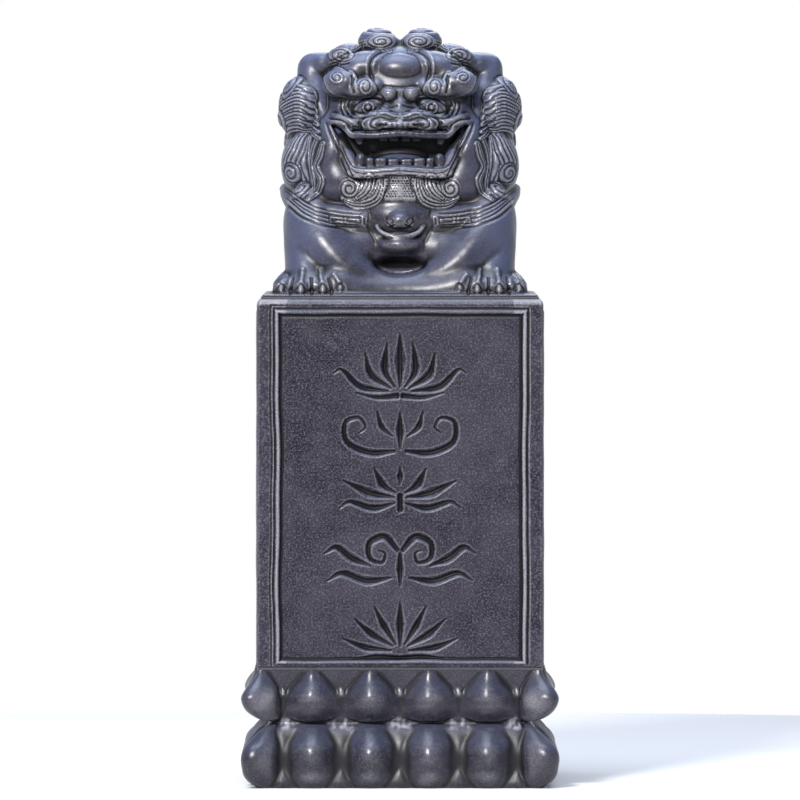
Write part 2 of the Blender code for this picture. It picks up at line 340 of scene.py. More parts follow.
class Relief:
    """Raised and cut work on a skin, drawn on flat maps of it. Heights are along the surface's normal."""

    def __init__(self, points, normals):
        self.x = np.abs(points[:, 0])
        self.y, self.z = points[:, 1], points[:, 2]
        self.facing = -normals[:, 1]
        self.height = np.zeros(len(points))
        angle = np.arctan2(self.x / 150, -(self.y + 12) / 118)
        self.maps = {
            "front": (self.x, self.z, (self.facing > 0.02) & (self.y < -40)),
            "side": (150 * angle, self.z, self.x > 30),
            "back": (self.x, self.z, (self.facing < 0.1) & (self.y > 20)),
            "top": (self.x, self.y, (normals[:, 2] > 0.15) & (self.z > 250)),
            "flank": (self.y, self.z, self.x > 60),
        }

    def near(self, where, low, high):
        """Which points lie between two corners of a map, and their places on it."""
        u, w, allowed = self.maps[where]
        pick = allowed & (u > low[0]) & (u < high[0]) & (w > low[1]) & (w < high[1])
        pick = np.nonzero(pick)[0]
        return pick, u[pick], w[pick]

    def seen(self, spots):
        """The side-map places of spots (x, z) on the skin, given as they look from straight in front."""
        out = []
        for x, z in spots:
            near = np.nonzero((np.abs(self.x - x) < 2.5) & (np.abs(self.z - z) < 2.5))[0]
            if len(near) == 0:
                near = np.nonzero((np.abs(self.z - z) < 2.5) & (self.y < 0))[0]
                near = near[[np.argmax(self.x[near])]]
            pick = near[np.argmin(self.y[near])]
            out.append((self.maps["side"][0][pick], z))
        return out

    def lay(self, pick, height, cover):
        """Puts a height over what's there, as far as cover says."""
        self.height[pick] = self.height[pick] * (1 - cover) + height * cover

    def line(self, where, corners, width, depth, fade=True):
        """A groove along the corners, or a raised bead where depth is negative."""
        path = smooth_line(corners)
        pick, u, w = self.near(where, path.min(axis=0) - 3 * width, path.max(axis=0) + 3 * width)
        gap, share = follow(u, w, path)
        ends = ramp(share, -0.02, 0.12) * ramp(share, 1.02, 0.88) if fade else 1.0
        self.height[pick] -= depth * ends * np.exp(-((gap / width) ** 2))

    def lock(self, where, corners, half, strands, lift=5.0, depth=1.8, sway=0.0):
        """A lock of hair along the corners, with half its width at each, carved into strands."""
        path = smooth_line(corners)
        reach = 1.1 * max(half)
        pick, u, w = self.near(where, path.min(axis=0) - reach, path.max(axis=0) + reach)
        gap, share = follow(u, w, path)
        wide = np.interp(share, np.linspace(0, 1, len(half)), half)
        across = gap / wide
        inside = np.abs(across) < 1
        pick, across, share, wide = pick[inside], across[inside], share[inside], wide[inside]
        crown = np.sqrt(1 - across**2)
        strand = np.abs(np.sin(math.pi * (strands * (across + 1) / 2 + sway * share)))
        height = lift * crown + depth * (strand**0.7 - 1)
        self.lay(pick, height, ramp(1 - np.abs(across), 0, 1.6 / wide.clip(4)))

    def plate(self, where, corners, lift, edge):
        """Raises the inside of a closed outline, with an edge that wide."""
        outline = smooth_line(corners + corners[:1], 60)
        pick, u, w = self.near(where, outline.min(axis=0) - edge, outline.max(axis=0) + edge)
        gap = np.abs(follow(u, w, outline)[0])
        depth_in = np.where(within(u, w, outline), gap, -gap)
        self.height[pick] += lift * ramp(depth_in, -edge, edge)

    def bun(
        self, where, centre, radius, turns, lift=5.0, depth=1.8, hand=1, start=0.0, squash=1.0, add=False
    ):
        """A round curl, coiled from its rim to its middle, laid over what's there or added to it."""
        reach = radius * max(1.0, 1 / squash)
        pick, u, w = self.near(where, np.array(centre) - reach, np.array(centre) + reach)
        du, dw = (u - centre[0]) * hand, (w - centre[1]) / squash
        out = np.hypot(du, dw) / radius
        inside = out < 1
        pick, du, dw, out = pick[inside], du[inside], dw[inside], out[inside]
        phase = turns * out - (np.arctan2(dw, du) + start) / (2 * math.pi)
        coil = np.abs(np.sin(math.pi * phase)) ** 0.7
        coil = np.where(out < 0.45 / turns, 1.0, coil)
        height = lift * np.sqrt(1 - out**2) + depth * (coil - 1)
        rim = ramp(1 - out, 0, 1.6 / radius)
        if add:
            self.height[pick] += height * rim
        else:
            self.lay(pick, height, rim)

    def knob(self, where, centre, radii, lift):
        """A smooth rounded lump."""
        reach = np.array(radii) * 1.05
        pick, u, w = self.near(where, np.array(centre) - reach, np.array(centre) + reach)
        out = ((u - centre[0]) / radii[0]) ** 2 + ((w - centre[1]) / radii[1]) ** 2
        self.height[pick] += lift * np.sqrt(np.clip(1 - out, 0, 1))


# ---------------------------------------------------------------- the lion


def lion_block():
    """The lion's body and head as one rounded solid, before any carving."""
    b = Block((0, -182, LION_FOOT - 6), (184, 184, 364), LION_STEP)

    # Ground the lion crouches on, which slopes down to the pillar's edge
    b.slab((-184, -184, -40), (184, 184, 6), 6, soft=1)
    b.slab((-160, -160, -40), (160, 160, 12), 10, soft=20)

    # Body, haunches and hind paws
    b.ball((0, 30, 82), (112, 130, 78))
    b.ball((0, 18, 30), (98, 120, 40))
    b.ball((0, 100, 92), (112, 62, 76))
    b.ball((108, 88, 66), (40, 70, 62), soft=6)
    b.ball((126, 24, 18), (27, 50, 19), soft=4)
    for toe, x in enumerate((108, 125, 141)):
        b.ball((x, -22 + 5 * abs(toe - 1), 13), (9, 18, 12), soft=3)
    b.ball((140, 40, 46), (9, 30, 34), soft=6)

    # Chest, shoulders and front legs
    b.ball((0, -80, 88), (108, 54, 56), soft=20)
    b.ball((0, -92, 58), (94, 40, 30), soft=20)
    b.ball((108, -62, 104), (40, 62, 52), soft=10)
    b.limb([(116, -84, 118), (122, -102, 84), (124, -118, 50), (121, -130, 26)], (34, 28, 23, 25), soft=10)
    b.ball((118, -136, 17), (50, 34, 18), soft=8)
    for x, y, z in ((79, -152, 12), (102, -161, 13), (131, -162, 13), (157, -150, 12)):
        b.limb([(x * 0.86 + 16, y + 28, z + 16), (x, y, z)], (8, 11.5), soft=4, count=4)
        b.limb([(x, y - 5, z + 3), (x, y - 12, z - 5)], (7.5, 3.6), soft=1.5, count=4)

    # The hollow stone between the legs, with a rim that sags in the middle
    belly = [(0, -140, 22), (36, -141, 27), (66, -141, 38), (92, -134, 60), (112, -116, 92)]
    b.limb(belly, (12, 12, 15, 18, 24), soft=18)
    b.limb([(0, -146, 8), (60, -148, 10), (90, -146, 20)], (13, 15, 16), soft=16)
    b.ball((64, -108, 62), (38, 33, 30), soft=18)
    b.ball((0, -150, 45), (34, 44, 13), soft=7, carve=True)

    # Mane: a deep ruff round the head
    b.ball((0, -4, 198), (150, 116, 104), soft=12)
    b.ball((0, 52, 222), (112, 76, 96), soft=14)
    b.ball((127, -50, 252), (31, 44, 44), soft=10)
    b.ball((123, -58, 176), (35, 46, 48), soft=10)
    b.ball((0, -46, 266), (104, 90, 76), soft=10)

    # Face
    b.ball((0, -84, 240), (97, 54, 62), soft=8)
    b.ball((0, -84, 292), (90, 44, 38), soft=8)
    b.ball((88, -84, 190), (31, 46, 58), soft=9)
    b.ball((80, -98, 158), (34, 36, 34), soft=9)
    b.ball((0, -106, 176), (70, 44, 34), soft=8)
    b.limb([(103, -80, 240), (97, -98, 216), (88, -108, 192), (76, -114, 166)], (7, 8, 9, 6), soft=8)

    # Ears, laid back beside the forehead and narrowing down to the cheek
    ear = [(117, -48, 306), (116, -56, 292), (110, -70, 272), (103, -82, 248), (98, -92, 226)]
    b.limb(ear, (18.5, 17, 12.5, 8.5, 6), soft=5)
    b.ball((110, -52, 303), (22, 18, 21), soft=6)
    b.ball((98, -58, 312), (20, 20, 14), soft=7)

    # Forehead, brows and the two pearls between them
    b.ball((48, -104, 306), (36, 25, 21), (0, 12, 0), soft=6)
    b.ball((0, -112, 303), (35, 22.5, 22), soft=1.5)
    b.ball((74, -113, 285), (30, 24, 18), (0, 14, 0), soft=8)
    b.ball((48, -121, 278.5), (25, 23, 12), (0, 6, 0), soft=7)

    # Muzzle and upper lip
    b.ball((0, -112, 236), (72, 40, 24), soft=6)
    b.ball((58, -112, 233), (34, 28, 16), soft=6)

    # Eye sockets, shaded by the brows, and the eyes
    b.ball((47, -149, 255), (33, 28, 13), (0, 14, 0), soft=1.5, carve=True)
    b.ball((70, -142, 253), (17, 26, 14), soft=3, carve=True)
    b.ball((43, -121, 252.5), (18.5, 17, 9.0), (0, 18, 0), soft=1.2)
    b.ball((14.4, -139, 270.5), (10, 11, 9.5), soft=1.0)

    # Nose: a broad flat bridge with a waved top edge, and two rolled wings
    b.ball((0, -128, 250), (17, 18, 20), soft=5)
    b.limb([(0, -149, 237), (19, -150, 241), (36, -145, 239), (48, -135, 233)], (7, 8, 7.5, 6), soft=3)
    b.ball((0, -149, 231), (30, 14, 7.5), soft=4)
    b.ball((35, -143, 231), (17, 15, 11), (0, 8, 0), soft=3)
    b.ball((25, -163, 228.5), (9, 11, 3.2), (0, 14, 0), soft=2, carve=True)

    # The open mouth, its lips, teeth and tongue
    upper = [(0, 215.5), (40, 214), (60, 214), (72, 222), (86, 230), (91, 229)]
    lower = [(84, 217), (72, 197), (62, 175), (40, 174), (0, 176)]
    mouth = upper + lower + [(-x, z) for x, z in reversed(upper[1:] + lower[:-1])]
    b.prism(mouth, -190, -99, soft=4, carve=True)
    lip = [(0, -150, 218.5), (28, -148, 216.5), (48, -144, 216), (62, -138, 216.5)]
    lip += [(71, -131, 225), (82, -121, 232), (94, -106, 233)]
    b.limb(lip, (4.5, 4.5, 4.5, 4.5, 4, 3.5, 3), soft=2.5, count=24)
    b.limb([(92, -98, 230), (81, -111, 210), (70, -123, 190), (61, -136, 170)], (4.5, 9.5, 10, 8.5), soft=3)
    chin = [(62, -138, 168), (42, -145, 167), (20, -148, 168.5), (0, -149, 170)]
    b.limb(chin, (7.5, 7, 6.5, 6.5), soft=2.5)
    b.ball((0, -116, 182), (38, 26, 12), soft=2)
    b.limb([(0, -124, 192), (20, -122, 191), (35, -116, 187)], (6, 5.5, 3.5), soft=3)
    for x, half, top in ((8.7, 7.6, 185), (25.5, 7.6, 186), (39.5, 5, 186)):
        for flip in (1, -1):
            b.slab((flip * x - half, -148, 170), (flip * x + half, -134, top), 2.8, soft=0.5)
    b.limb([(53, -134, 174), (52, -138, 186)], (9.5, 6), soft=0.8, count=4)
    b.limb([(54, -128, 214), (53, -130, 207)], (7, 5), soft=0.8, count=4)
    for x in (8, 22):
        for flip in (1, -1):
            b.slab((flip * x - 6.5, -128, 207), (flip * x + 6.5, -117, 218), 2.4, soft=0.6)

    # Beard, throat and collar
    b.ball((0, -104, 142), (76, 39, 29), soft=8)
    b.ball((0, -114, 144), (27, 26, 24), soft=6)
    b.ball((0, -92, 118), (104, 40, 26), soft=10)
    collar = [(150, -34, 142), (136, -68, 128), (114, -94, 116), (84, -112, 107), (48, -124, 103)]
    b.limb(collar, (10, 14, 15, 14, 13), soft=8)

    # Hanging mask and bell on the collar
    b.ball((0, -120, 108), (45, 25, 27), soft=8)
    b.ball((1, -141, 103), (14, 11, 11), soft=5)
    b.ball((12, -139, 101), (7, 8, 6.5), soft=3)
    b.ball((0, -152, 89), (22, 12, 4.5), soft=4, carve=True)
    b.limb([(0, -144, 82), (14, -143, 83.5), (26, -139, 89), (33, -133, 99)], (2.4, 2.4, 2.3, 1.8), soft=2.5)
    b.ball((0, -127, 71), (30, 24, 14), soft=7)

    # Curls along the crown, and the tail over the rump
    b.ball((24, -70, 337), (24, 24, 15), soft=5)
    b.ball((74, -72, 321), (25, 24, 15), (0, 24, 0), soft=6)
    b.ball((30, -34, 341), (26, 26, 16), soft=5)
    b.limb([(0, 140, 40), (0, 158, 76), (0, 160, 112)], (14, 18, 18), soft=8, count=10)
    b.ball((0, 146, 142), (34, 20, 34), soft=6)
    b.ball((30, 142, 112), (22, 18, 30), (0, -20, 0), soft=5)

    b.field = np.maximum(b.field, (LION_FOOT + 0.2 - b.axes[2])[None, None, :])
    return b


def carve_face(r):
    """Brows, eyes, nose and lips, on the front map."""
    # Forehead: the ridge round the middle boss, and the soft lobes beside it
    r.line("front", [(8, 330), (24, 327), (36, 317), (39, 303), (36, 290), (28, 278)], 2.2, 2.2)
    r.line("front", [(14, 334), (30, 330), (42, 319), (44.5, 303), (41, 288), (31, 274)], 1.8, -1.0)
    r.line("front", [(24, 281), (12, 279.5), (-2, 279)], 1.6, 1.6)

    # Brows: a leaf with a coil at each end and a folded ridge between them
    brow = [(70, 299), (82, 306), (95, 303), (100, 290), (92, 274), (74, 267.5), (58, 265.5)]
    brow += [(42, 267), (32, 272), (33, 283), (44, 290), (57, 289), (61, 296)]
    r.plate("front", brow, 3.4, 1.8)
    r.line("front", [(70, 300), (63, 299), (58, 291), (58, 282), (54, 273)], 1.6, -2.0)
    r.line("front", [(66, 294), (63, 290), (62.5, 280), (59, 272)], 1.5, 2.4)
    r.bun("front", (82.5, 291), 9.5, 1.8, lift=0.8, depth=1.6, start=1.2, squash=0.75, add=True)
    r.bun("front", (46, 280), 8.5, 1.7, lift=1.2, depth=1.8, hand=-1, start=0.6, add=True)
    r.line("front", [(36, 272), (48, 270), (60, 269), (76, 271)], 1.1, 1.0)
    for lift in range(3):
        r.line("front", [(94, 304 + 5 * lift), (82, 309 + 4.5 * lift), (66, 312 + 7 * lift)], 1.7, 2.0)

    # Eyes: slanted lids, a ringed iris, and the folds at the outer corners
    r.line("front", [(26, 257), (33, 261.5), (44, 261), (55, 255), (61, 247)], 1.5, -1.6)
    r.line("front", [(26, 257), (32, 249), (42, 243.5), (53, 242), (61, 247)], 1.5, -1.6)
    pupil = (42, 252.5)
    turn = np.linspace(0, 2 * math.pi, 13)
    for radius, depth in ((6.6, -1.9), (4.6, 1.7)):
        ring = np.stack([pupil[0] + radius * np.cos(turn), pupil[1] + radius * np.sin(turn)], axis=1)
        r.line("front", ring, 1.1, depth, fade=False)
    r.knob("front", pupil, (2.8, 2.8), 2.0)
    for fold in range(3):
        x = 66 + 5.5 * fold
        r.line("front", [(x - 1, 266 - fold), (x + 2.5, 256 - fold), (x - 4, 244 - 1.5 * fold)], 1.5, 2.0)
    r.line("front", [(26, 246), (40, 240), (54, 238), (68, 241)], 1.5, 1.7)
    r.line("front", [(20, 262), (25, 268), (34, 269)], 1.4, 1.5)
    r.line("front", [(2, 256), (12, 253), (24, 253)], 1.4, 1.2)

    # Nose: the waved ridge along its top, and a coil on each wing
    ridge = [(-1, 243), (9, 246), (20, 250), (33, 248.5), (46, 242), (54, 233), (50, 224)]
    bead = [(-1, 239), (9, 241.5), (19, 245), (32, 243.5), (43, 238), (49, 231), (45, 224)]
    coil = [(2, 235.5), (14, 236), (26, 239), (36, 236.5), (39, 229), (33, 224.5), (26, 226)]
    r.line("front", ridge, 1.7, 2.4)
    r.line("front", bead, 1.4, -1.6)
    r.line("front", coil, 1.5, 2.3)
    r.line("front", [(18, 230), (25, 233.5), (33, 232.5), (34, 228.5), (28, 226.5)], 1.2, -1.0)
    r.line("front", [(-1, 224.5), (12, 223.5), (24, 221.5), (40, 220.5), (54, 221)], 1.4, 2.0)
    for side in (14, 5):
        r.line("front", [(side, 236), (side * 0.8, 231), (side * 0.7, 226)], 1.6, 0.5)

    # Upper lip, the roll beside the nose, and the corners of the mouth
    r.line("front", [(52, 222), (63, 222), (70, 230), (80, 236.5), (95, 238)], 1.6, 2.2)
    r.line("front", [(56, 230), (66, 235), (78, 241), (92, 243)], 2.2, -1.2)
    r.line("front", [(54, 226), (64, 227)], 1.4, 1.2)
    outer = [(99, 236), (93, 220), (81, 197), (70, 176), (62, 160), (48, 158), (20, 161), (-1, 163)]
    r.line("front", outer, 1.9, 2.6)
    r.line("front", [(88, 222), (78, 202), (68, 182), (60, 174), (40, 173), (20, 174.5), (-1, 176)], 1.3, 1.3)
    r.line("front", [(68, 176), (58, 167), (40, 165.5), (20, 167.5), (-1, 169)], 1.0, 0.7)


def carve_beard(r):
    """The rough patch under the chin, and the locks that curl away from it."""
    longest = [(25, 158), (26, 147), (32, 134), (45, 127), (62, 126), (76, 133)]
    r.lock("front", longest, (6, 8, 10, 10, 8, 4), 4, lift=2.6, depth=2.2)
    r.lock("front", [(41, 158), (42, 150), (47, 141), (56, 134)], (9, 10, 9, 7), 4, lift=2.6, depth=2.2)
    r.lock("front", [(57, 158), (55, 152), (58, 146)], (7, 8, 6), 3, lift=2.0, depth=2.0)
    r.bun("front", (67, 146), 14, 2.3, lift=3.0, depth=2.2, hand=-1, start=2.4)
    r.line("front", [(18, 160), (19, 150), (24, 138), (33, 128)], 1.7, -1.4)
    r.line("front", [(14, 160), (15, 149), (19, 138)], 1.6, 1.6)
    for row in range(8):
        for dot in range(5):
            x = 3.8 * dot + 1.9 * (row % 2)
            r.knob("front", (x, 159 - 3.4 * row), (1.4, 1.4), -0.25 - 0.07 * x)


def carve_mane(r):
    """Two tiers of locks beside the face, then rows of curls round the sides and back."""
    # Rows of curls from the side round to the back, lowest first so that upper rows lie over them
    rows = ((132, 268, 22), (172, 250, 23), (214, 262, 24), (258, 240, 24))
    for row, (z, first, radius) in enumerate(rows):
        for k, u in enumerate(np.arange(first, 490, 1.95 * radius)):
            if row:
                end = (u + 5 * (-1) ** k, z - 1.75 * radius)
                tail = [(u - 0.7 * radius, z - 4), (u - 0.3 * radius, z - radius), end]
                r.lock("side", tail, (13, 14, 7), 4, lift=3.0, depth=2.0)
            r.bun("side", (u, z), radius, 2.6, lift=6.5, depth=2.3, hand=1 if k % 2 else -1, start=0.8 * k)

    # Lower tier: locks that hang beside the cheek and curl up at their ends
    r.lock("side", [(206, 222), (222, 196), (232, 170), (222, 148)], (16, 18, 17, 10), 5, lift=4.0, depth=2.3)
    r.bun("side", (238, 156), 17, 2.3, lift=5.0, depth=2.2, hand=1, start=0.5)
    inner = [(104, 204), (107, 190), (112, 174), (106, 156), (110, 140), (124, 131)]
    middle = [(111, 211), (117, 194), (121, 176), (116, 158), (118, 144), (130, 136)]
    outer = [(121, 213), (128, 194), (129, 176), (124, 160), (128, 148)]
    r.lock("side", r.seen(inner), (5, 6, 6.5, 6.5, 6, 4), 3, lift=3.5, depth=2.4)
    r.lock("side", r.seen(middle), (5, 6.5, 7, 7, 6, 4), 3, lift=4.2, depth=2.4)
    r.lock("side", r.seen(outer), (6, 8, 9, 8, 6), 3, lift=4.4, depth=2.4)
    outermost = r.seen([(136, 213), (144, 196), (150, 178), (148, 164)])
    r.lock("side", outermost, (11, 17, 20, 14), 6, lift=4.6, depth=2.3)
    r.bun("side", r.seen([(146, 166)])[0], 15, 2.2, lift=5.0, depth=2.2, hand=-1, start=1.0)
    r.bun("side", r.seen([(134, 143)])[0], 13, 2.3, lift=5.0, depth=2.2, hand=1, start=2.0)

    # Upper tier: broad locks that arch back from under the ear, and a coil at their outer end
    for drop in range(7):
        z = 277 - 8.7 * drop
        inner = 114 - 1.0 * drop
        spots = r.seen([(inner, z - 14), (inner + 8, z - 7), (inner + 17, z - 2), (139, z + 1), (150, z - 3)])
        u, w = spots[-1]
        spots += [(u + 24, w - 8), (u + 42, w - 18)]
        r.lock("side", spots, (3, 5, 5.5, 5.8, 6, 6.5, 5), 2, lift=4.2, depth=2.6)
    u, w = r.seen([(153, 237)])[0]
    r.bun("side", (u + 14, w), 16, 2.2, lift=7.0, depth=2.4, hand=1, start=3.0)
    u, w = r.seen([(143, 278)])[0]
    r.bun("side", (u + 12, w), 17, 2.0, lift=5.0, depth=1.8, hand=-1, start=1.0)


def carve_crown(r):
    """Curls over the top of the head and the crown's own curls at the front."""
    for y, spots, radius in ((96, (26, 70), 24), (54, (0, 52, 98), 25), (8, (26, 76), 26)):
        for k, x in enumerate(spots):
            r.bun("top", (x, y), radius, 2.6, lift=5.5, depth=2.2, hand=1 if k % 2 else -1, start=0.9 * k)
    r.bun("top", (30, -34), 24, 2.4, lift=2.0, depth=2.2, hand=-1)
    r.bun("front", (77, 322), 19, 2.6, lift=2.6, depth=2.2, hand=-1, start=1.4, squash=0.6)
    r.lock("front", [(62, 330), (48, 338), (30, 336), (14, 328)], (4, 6, 7, 4), 3, lift=1.5, depth=2.0)
    r.bun("front", (25, 340), 22, 3.0, lift=2.2, depth=2.2, hand=1, start=2.6, squash=0.5)


def carve_collar(r):
    """The strap round the neck with its key pattern, and the mask and bell that hang from it."""
    strap = [(154, 148), (126, 129), (100, 119), (74, 114), (47, 113)]
    for drop in range(4):
        rope = [(x, z - 0.5 - 5.2 * drop * (1 - 0.25 * (x > 140))) for x, z in strap]
        r.line("front", rope, 1.4, 1.9 if drop != 2 else 1.3)
    r.line("front", [(47, 97), (47, 107)], 1.4, 1.6)
    r.line("front", [(154, 128), (130, 108), (100, 98), (74, 94), (47, 94)], 2.2, 2.2)
    for left, right, low in ((52, 70, 99.5), (75, 93, 102)):
        frame_line = [(left, low), (left, low + 6), (right, low + 7.5), (right, low + 1.5)]
        for a, b in zip(frame_line, frame_line[1:] + frame_line[:1]):
            r.line("front", [a, b], 1.0, 1.4, fade=False)

    # Mask: a blunt nose with curled nostrils over a curved lip, and folds at its sides
    r.line("front", [(17, 108), (18, 101), (12, 96), (6, 98)], 1.3, 1.9)
    r.line("front", [(12, 106), (9, 102), (12, 99.5)], 1.0, 1.3)
    r.line("front", [(-1, 92), (8, 92.5), (16, 95)], 1.4, 1.6)
    r.line("front", [(43, 122), (40, 110), (43, 97), (37, 84), (31, 72)], 2.2, 1.1)


def carve_limbs(r):
    """Toes, tendons and the curls on shoulder, elbow and haunch."""
    for x, top in ((79, 34), (102, 42), (131, 42), (157, 32)):
        lean = 0.13 * (120 - x)
        r.line("front", [(x, 20), (x + lean, 28), (x + 2 * lean, top)], 2.8, -1.8)
        r.line("front", [(x - 7, 11), (x - 3.5, 17.5), (x, 20), (x + 3.5, 17.5), (x + 7, 11)], 1.4, 1.8)
        r.line("front", [(x, 19), (x, 9)], 2.2, -1.2)
    for x in (90.5, 116.5, 144.5):
        r.line("front", [(x, 2), (x, 13), (x + 0.16 * (120 - x), 30)], 1.9, 2.8)

    r.bun("flank", (96, 66), 30, 2.2, lift=2.5, depth=2.0, start=1.0)
    r.lock("flank", [(44, 30), (60, 44), (66, 66), (58, 90)], (5, 8, 9, 4), 3, lift=2.5, depth=1.5)
    r.lock("flank", [(-38, 60), (-22, 76), (-16, 98), (-26, 118)], (5, 9, 10, 5), 3, lift=2.5, depth=1.5)
    r.lock("flank", [(-58, 34), (-42, 50), (-38, 70), (-48, 88)], (4, 7, 8, 4), 3, lift=2.2, depth=1.4)
    for y in (-29, -14):
        r.line("flank", [(y, 8), (y + 5, 16), (y + 14, 26)], 1.5, 1.6)


def carve_tail(r):
    """A plume of locks folded up against the rump, and curls up the middle of the mane's back."""
    r.lock("back", [(0, 22), (2, 60), (3, 96)], (13, 15, 15), 6, lift=3.0, depth=1.7)
    r.lock("back", [(8, 92), (24, 112), (38, 122), (46, 108)], (9, 13, 13, 8), 4, lift=3.5, depth=1.8)
    r.bun("back", (36, 104), 14, 2.3, lift=4.0, depth=1.8, hand=-1)
    r.lock("back", [(0, 96), (6, 122), (6, 150), (2, 176)], (10, 15, 15, 6), 5, lift=4.0, depth=1.8)
    r.bun("back", (22, 150), 14, 2.4, lift=4.5, depth=1.8, hand=1, start=1.0)
    for row, z in enumerate((188, 211, 234, 256)):
        hand = 1 if row % 2 else -1
        r.bun("back", (13 + 3 * (row % 2), z), 15.5, 2.2, lift=6.0, depth=2.2, hand=hand, start=0.9 * row)


def make_lion_shape():
    """Points and faces of the carved lion."""
    points, faces = lion_block().skin()
    normals = vertex_normals(points, faces)
    normals = neighbour_mean(normals, faces, len(points), 2)
    normals /= np.linalg.norm(normals, axis=1)[:, None]
    relief = Relief(points, normals)
    carve_limbs(relief)
    carve_tail(relief)
    carve_mane(relief)
    carve_crown(relief)
    carve_collar(relief)
    carve_beard(relief)
    carve_face(relief)
    grounded = ramp(points[:, 2], LION_FOOT, LION_FOOT + 6)
    height = relief.height + 0.35 * ripple(points, 34, 3) + 0.03 * ripple(points, 9, 4)
    return points + normals * (height * grounded)[:, None], faces


def wear_and_shade_of(points, faces, fine_share=2.4, broad_share=0.55):
    """How worn each point is, and the painted shade in its hollows, with the skin's normals.

    The value is positive on exposed edges, which are worn paler, and negative in hollows, where it
    stands for painted shade. It comes from the skin's fine and broad curvature, and a broad swelling
    counts for less than a broad hollow.
    """
    count = len(points)
    normals = vertex_normals(points, faces)
    fine = neighbour_mean(points, faces, count, 2)
    broad = neighbour_mean(fine, faces, count, 14)
    edge = ((points - fine) * normals).sum(axis=1)
    bulk = ((points - broad) * normals).sum(axis=1)
    bulk = np.where(bulk > 0, 0.3, 1.0) * bulk
    return np.clip(fine_share * edge + broad_share * bulk, -1, 1), normals


# ---------------------------------------------------------------- the pillar


def perimeter_side(places, half, corner):
    """Stations along one side of a rounded square, from corner middle to corner middle.

    Each is (place along the side, place out from the middle, direction along, direction out).
    """
    flat = half - corner
    stations = []
    turn_count = 4
    for k in range(turn_count, 0, -1):
        angle = math.pi / 4 * k / turn_count
        sine, cosine = math.sin(angle), math.cos(angle)
        stations.append((-flat - corner * sine, flat + corner * cosine, -sine, cosine))
    for place in places:
        stations.append((place * flat, half, 0.0, 1.0))
    stations += [(-x, out, -nx, nout) for x, out, nx, nout in reversed(stations[:turn_count])]
    return np.array(stations)


def stroke(u, w, corners, wide, depth):
    """How deep a brush-like cut goes, with half its width at each corner, swelling and tapering."""
    path = smooth_line(corners, 28)
    reach = max(wide) + 2
    low, high = path.min(axis=0) - reach, path.max(axis=0) + reach
    pick = np.nonzero((u > low[0]) & (u < high[0]) & (w > low[1]) & (w < high[1]))[0]
    gap, share = follow(u[pick], w[pick], path)
    half = np.interp(share, np.linspace(0, 1, len(wide)), wide)
    cut = np.zeros(len(u))
    cut[pick] = depth * np.minimum(1, half / 5.5) * np.clip(1.1 * (1 - np.abs(gap) / half), 0, 1)
    return cut


def panel_ornaments():
    """Ornaments for the front panel, top to bottom, as (middle height, strokes).

    A stroke is a list of (out from the middle line, up from the middle height), and its half widths. Each
    is mirrored across the middle line.
    """
    lotus = [
        ([(0, -30), (0, -4), (0, 40)], (2, 9, 1.5)),
        ([(7, -30), (20, -8), (17, 28)], (2, 7, 1.5)),
        ([(12, -32), (38, -14), (46, 14)], (2, 7, 1.5)),
        ([(16, -36), (52, -30), (76, -8), (88, -12)], (2, 6, 5, 1.5)),
        ([(4, -42), (30, -44), (58, -38)], (5, 4, 1.5)),
    ]
    scrolls = [
        ([(0, -26), (0, 0), (0, 24)], (1.5, 7, 1.5)),
        ([(8, -28), (40, -30), (70, -16), (72, 10), (54, 16), (46, 4), (54, -4)], (3, 6, 6, 5, 4, 3, 1.5)),
        ([(10, -8), (24, 4), (30, 24)], (2, 5, 1.5)),
    ]
    leaves = [
        ([(0, -24), (0, -6)], (5, 5)),
        ([(6, -2), (22, 8), (34, 30)], (2, 7, 1.5)),
        ([(8, -8), (40, -2), (74, 14)], (2, 8, 1.5)),
        ([(8, -16), (36, -22), (66, -14), (80, -22)], (2, 6, 5, 1.5)),
        ([(0, 8), (0, 20), (0, 32)], (1.5, 5, 1.5)),
    ]
    cloud = [
        ([(0, -36), (0, -10), (0, 10)], (1.5, 6, 3)),
        ([(3, 12), (20, 30), (40, 22), (40, 2), (24, -4), (20, 8), (28, 12)], (4, 6, 6, 5, 4, 3, 1.5)),
        ([(40, -8), (64, 2), (84, 16), (100, 8)], (2, 7, 6, 1.5)),
        ([(12, -24), (44, -28), (76, -18), (96, -28)], (2, 7, 6, 1.5)),
    ]
    fan = [
        ([(0, -20), (0, 8), (0, 38)], (2, 7, 1.5)),
        ([(6, -18), (22, 8), (34, 32)], (2, 6, 1.5)),
        ([(10, -20), (38, -4), (60, 16)], (2, 6.5, 1.5)),
        ([(12, -26), (46, -22), (76, -10)], (2, 6, 1.5)),
        ([(0, -36), (30, -34), (60, -37)], (4.5, 4, 1.5)),
    ]
    return [(560, lotus), (473, scrolls), (392, leaves), (302, cloud), (208, fan)]


